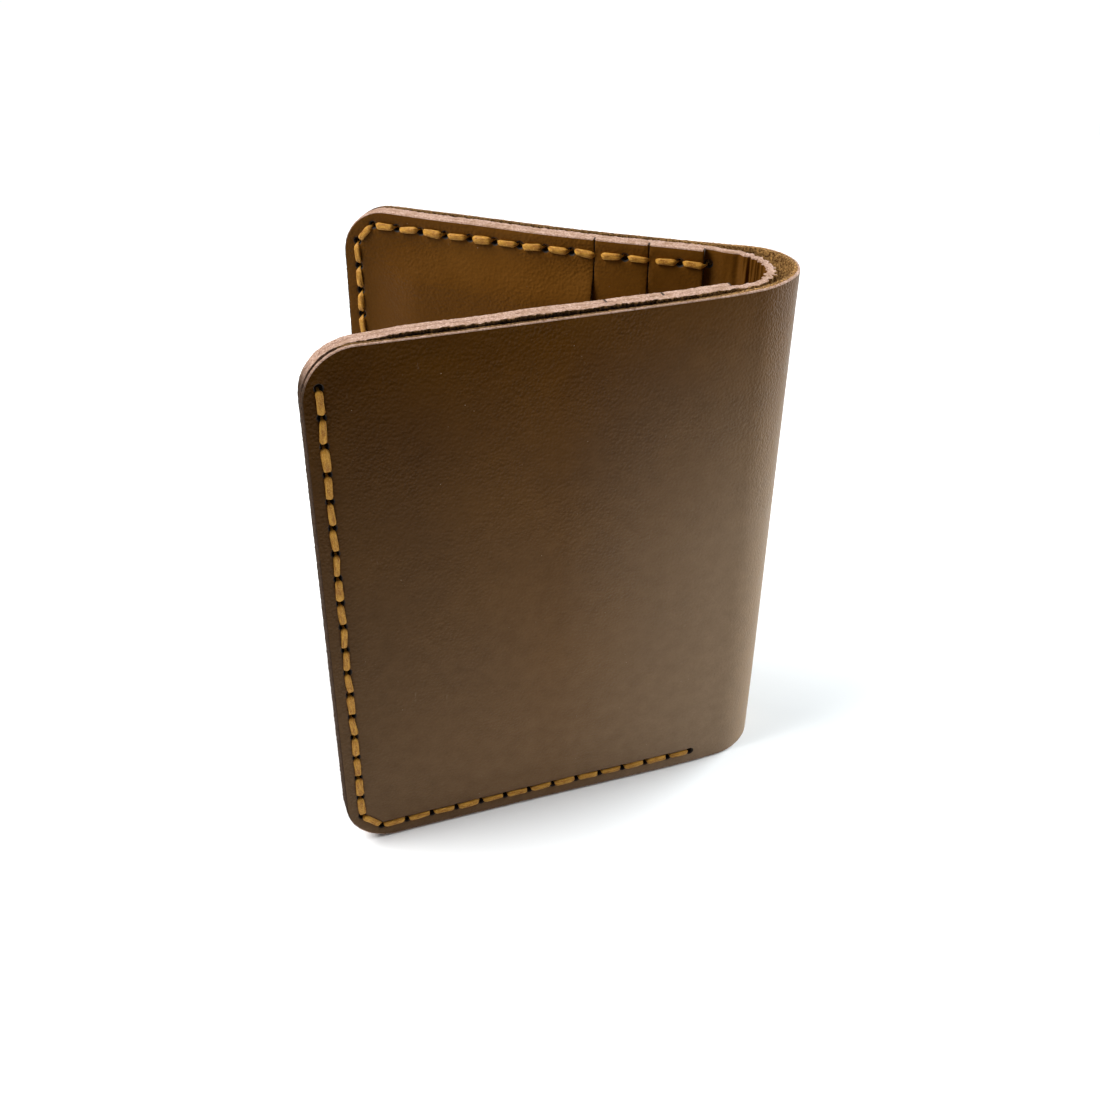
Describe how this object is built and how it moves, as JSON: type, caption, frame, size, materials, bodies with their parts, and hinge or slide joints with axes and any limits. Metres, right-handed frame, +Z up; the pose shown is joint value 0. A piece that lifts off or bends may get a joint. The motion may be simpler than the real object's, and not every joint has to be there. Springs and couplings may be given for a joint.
{
  "type": "bifold wallet",
  "caption": "Upright bifold leather wallet, half open, with hand-stitched edges, card pockets on both inner faces and a note compartment behind the liner.",
  "frame": {"origin": "bottom centre of the bounding box of the wallet standing on its bottom edge, half open", "axes": "+Z up along the fold, +X towards the fold, front panel on the -Y side and back panel on the +Y side"},
  "size_m": [0.0828, 0.0688, 0.1027],
  "materials": {
    "shell_leather": "smooth waxed full-grain leather with raw cut edges",
    "liner_leather": "smooth full-grain leather, flesh side against the note compartment",
    "pocket_leather": "smooth full-grain leather with raw cut edges",
    "thread": "waxed braided thread"
  },
  "bodies": {
    "back_panel": {"shell_back_panel": "shell_leather", "liner_back_panel": "liner_leather", "pocket_1_back": "pocket_leather", "pocket_2_back": "pocket_leather", "pocket_3_back": "pocket_leather", "edge_thread_back": "thread", "top_thread_back": "thread"},
    "spine_1": {"shell_spine_1": "shell_leather", "liner_spine_1": "liner_leather"},
    "spine_2": {"shell_spine_2": "shell_leather", "liner_spine_2": "liner_leather"},
    "spine_3": {"shell_spine_3": "shell_leather", "liner_spine_3": "liner_leather"},
    "spine_4": {"shell_spine_4": "shell_leather", "liner_spine_4": "liner_leather"},
    "spine_5": {"shell_spine_5": "shell_leather", "liner_spine_5": "liner_leather"},
    "front_panel": {"shell_front_panel": "shell_leather", "liner_front_panel": "liner_leather", "pocket_1_front": "pocket_leather", "pocket_2_front": "pocket_leather", "pocket_3_front": "pocket_leather", "edge_thread_front": "thread", "top_thread_front": "thread"}
  },
  "joints": [
    {"name": "fold", "type": "hinge", "parent": "back_panel", "child": "spine_1", "pos_m": [0.03577, 0.00972, 0.05135], "axis": [0, 0, 1], "range_deg": [-5.6, 24.05]},
    {"name": "fold_2", "type": "hinge", "parent": "spine_1", "child": "spine_2", "pos_m": [0.03925, 0.0066, 0.05135], "axis": [0, 0, 1], "range_deg": [-5.65, 24.6]},
    {"name": "fold_3", "type": "hinge", "parent": "spine_2", "child": "spine_3", "pos_m": [0.04116, 0.00233, 0.05135], "axis": [0, 0, 1], "range_deg": [-5.65, 24.6]},
    {"name": "fold_4", "type": "hinge", "parent": "spine_3", "child": "spine_4", "pos_m": [0.04116, -0.00233, 0.05135], "axis": [0, 0, 1], "range_deg": [-5.65, 24.6]},
    {"name": "fold_5", "type": "hinge", "parent": "spine_4", "child": "spine_5", "pos_m": [0.03925, -0.0066, 0.05135], "axis": [0, 0, 1], "range_deg": [-5.65, 24.6]},
    {"name": "fold_6", "type": "hinge", "parent": "spine_5", "child": "front_panel", "pos_m": [0.03577, -0.00972, 0.05135], "axis": [0, 0, 1], "range_deg": [-5.65, 24.6]}
  ],
  "couplings": [
    {"joint": "fold_2", "follows": "fold", "ratio": 1},
    {"joint": "fold_3", "follows": "fold", "ratio": 1},
    {"joint": "fold_4", "follows": "fold", "ratio": 1},
    {"joint": "fold_5", "follows": "fold", "ratio": 1},
    {"joint": "fold_6", "follows": "fold", "ratio": 1}
  ]
}
